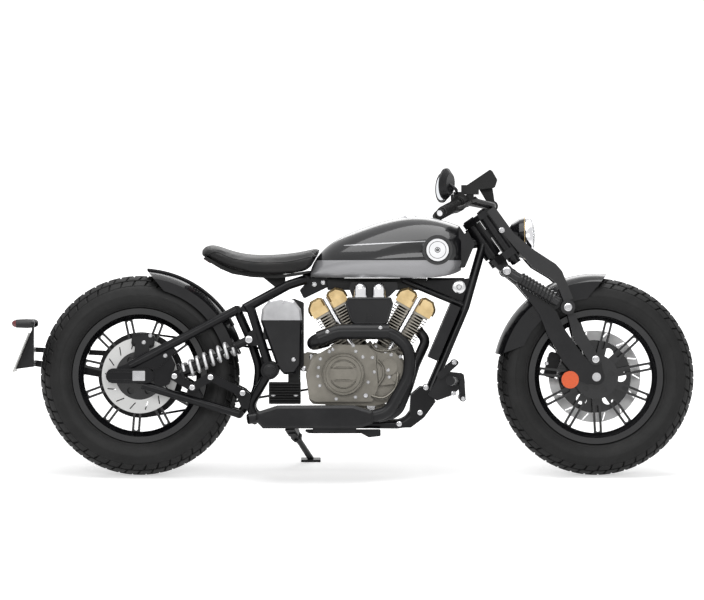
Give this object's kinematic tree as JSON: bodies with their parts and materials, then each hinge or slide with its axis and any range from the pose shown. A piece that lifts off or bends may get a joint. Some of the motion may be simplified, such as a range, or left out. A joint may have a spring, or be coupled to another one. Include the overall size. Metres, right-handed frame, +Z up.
{
  "type": "bobber motorcycle",
  "caption": "Low motorcycle with a vee-twin engine, girder fork, solo saddle, teardrop tank and cast wheels, leaning on its side stand.",
  "frame": {"origin": "on the floor, under the middle of the bounding box of the parked machine", "axes": "+X forward, +Y to the rider's left, +Z up; the machine leans 9 degrees to its left about +X"},
  "size_m": [2.2023, 0.8308, 1.0268],
  "materials": {
    "black_paint": "gloss",
    "frame_black": "satin",
    "silver_paint": "metallic",
    "chrome": "polished",
    "steel": "machined",
    "spring": "bright",
    "case_bronze": "satin",
    "fin_bronze": "satin",
    "head_gold": "satin",
    "dark_plastic": "matt",
    "plate_white": "satin",
    "rubber": "matt",
    "tyre": "matt",
    "leather": "satin",
    "red_lens": "gloss",
    "orange_reflector": "gloss",
    "lens": "clear"
  },
  "bodies": {
    "frame": {"frame_spine": "frame_black", "frame_rear": "frame_black", "frame_cradle": "frame_black", "swingarm": "frame_black", "rear_axle": "steel", "rear_shocks": "frame_black", "rear_springs": "spring", "shock_linkages": "frame_black", "crankcase": "case_bronze", "engine_covers": "case_bronze", "cylinders": "fin_bronze", "cylinder_heads": "head_gold", "pushrod_tubes": "chrome", "air_box": "black_paint", "intake_caps": "chrome", "exhaust_headers": "frame_black", "muffler": "frame_black", "radiator": "frame_black", "fuel_tank": "black_paint", "tank_gauges": "chrome", "tank_nose": "black_paint", "seat_pad": "leather", "seat_pan": "dark_plastic", "tail_lamp": "red_lens", "side_covers": "black_paint", "side_cover_caps": "silver_paint", "battery_box": "dark_plastic", "rear_fender": "black_paint", "plate_holder": "frame_black", "number_plate": "plate_white", "drive_belt": "rubber", "rear_caliper": "black_paint", "foot_controls": "frame_black", "stand_mount": "frame_black"},
    "steering": {"fork_clamps": "frame_black", "fork_tubes": "steel", "fork_arms": "black_paint", "side_reflectors": "orange_reflector", "front_axle": "steel", "girders": "black_paint", "fork_shocks": "steel", "fork_gaiters": "rubber", "front_fender": "black_paint", "front_caliper": "black_paint", "handlebar": "frame_black", "grips": "rubber", "switchgear": "dark_plastic", "mirrors": "frame_black", "instrument": "dark_plastic", "headlight": "black_paint", "headlight_lens": "lens"},
    "front_wheel": {"front_tyre": "tyre", "front_wheel": "black_paint", "front_brake_disc": "steel"},
    "rear_wheel": {"rear_tyre": "tyre", "rear_wheel": "black_paint", "rear_brake_disc": "steel", "rear_pulley": "black_paint"},
    "side_stand": {"side_stand": "frame_black"}
  },
  "joints": [
    {"name": "steering", "type": "hinge", "parent": "frame", "child": "steering", "pos_m": [0.38824, -0.00742, 0.79114], "axis": [-0.5707, 0.1285, 0.811], "range_deg": [-30, 30]},
    {"name": "front_wheel_spin", "type": "hinge", "parent": "steering", "child": "front_wheel", "pos_m": [0.78224, -0.08269, 0.31593], "axis": [0, 0.9877, -0.1564], "continuous": true},
    {"name": "rear_wheel_spin", "type": "hinge", "parent": "frame", "child": "rear_wheel", "pos_m": [-0.69176, -0.08204, 0.32003], "axis": [0, 0.9877, -0.1564], "continuous": true},
    {"name": "stand_fold", "type": "hinge", "parent": "frame", "child": "side_stand", "pos_m": [-0.18676, 0.01871, 0.09954], "axis": [0.1174, 0.6386, 0.7606], "range_deg": [0, 102.6]}
  ]
}
